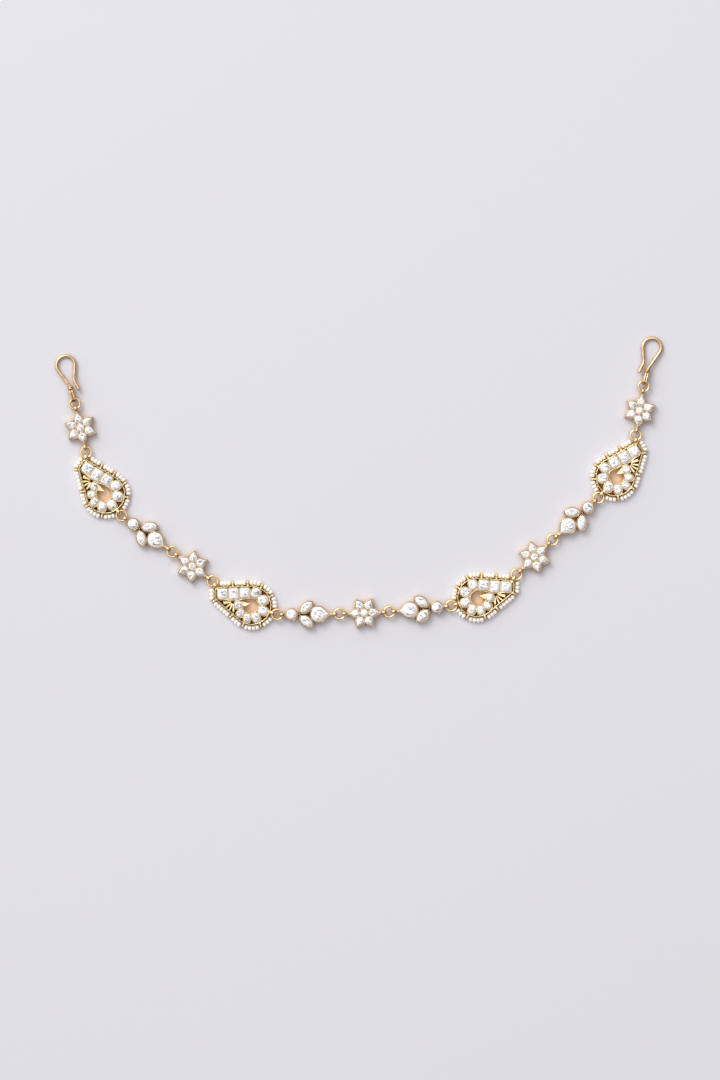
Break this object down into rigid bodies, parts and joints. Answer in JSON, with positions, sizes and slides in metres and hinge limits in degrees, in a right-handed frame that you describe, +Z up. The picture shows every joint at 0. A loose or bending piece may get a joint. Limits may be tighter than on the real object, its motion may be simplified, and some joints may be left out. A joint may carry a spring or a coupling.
{
  "type": "matha patti",
  "caption": "Head chain of flower, paisley and trio motifs in gold collets with white stones and pearl borders, linked by jump rings, with an open wire hook at each end.",
  "frame": {"origin": "middle of the bounding box on the ground that the flat backs lie on", "axes": "+X to the right of the wearer's view of the laid-out chain, along its span; +Y towards the hooks; +Z up from the ground, out of the stones"},
  "size_m": [0.231, 0.1116, 0.0037],
  "materials": {
    "gold": "polished",
    "white_stone": "polished, foil behind it",
    "seed_pearl": "lustrous"
  },
  "bodies": {
    "root": {"hook_left": "gold", "hook_right": "gold", "jump_ring_1": "gold", "jump_ring_2": "gold", "jump_ring_3": "gold", "jump_ring_4": "gold", "jump_ring_5": "gold", "jump_ring_6": "gold", "jump_ring_7": "gold", "jump_ring_8": "gold", "jump_ring_9": "gold", "jump_ring_10": "gold", "jump_ring_11": "gold", "jump_ring_12": "gold", "jump_ring_13": "gold", "jump_ring_14": "gold", "flower_1_setting": "gold", "flower_1_stones": "white_stone", "paisley_1_setting": "gold", "paisley_1_stones": "white_stone", "paisley_1_pearls": "seed_pearl", "paisley_1_pearl_wire": "gold", "trio_1_setting": "gold", "trio_1_stones": "white_stone", "flower_2_setting": "gold", "flower_2_stones": "white_stone", "paisley_2_setting": "gold", "paisley_2_stones": "white_stone", "paisley_2_pearls": "seed_pearl", "paisley_2_pearl_wire": "gold", "trio_2_setting": "gold", "trio_2_stones": "white_stone", "flower_3_setting": "gold", "flower_3_stones": "white_stone", "trio_3_setting": "gold", "trio_3_stones": "white_stone", "paisley_3_setting": "gold", "paisley_3_stones": "white_stone", "paisley_3_pearls": "seed_pearl", "paisley_3_pearl_wire": "gold", "flower_4_setting": "gold", "flower_4_stones": "white_stone", "trio_4_setting": "gold", "trio_4_stones": "white_stone", "paisley_4_setting": "gold", "paisley_4_stones": "white_stone", "paisley_4_pearls": "seed_pearl", "paisley_4_pearl_wire": "gold", "flower_5_setting": "gold", "flower_5_stones": "white_stone"}
  },
  "joints": []
}
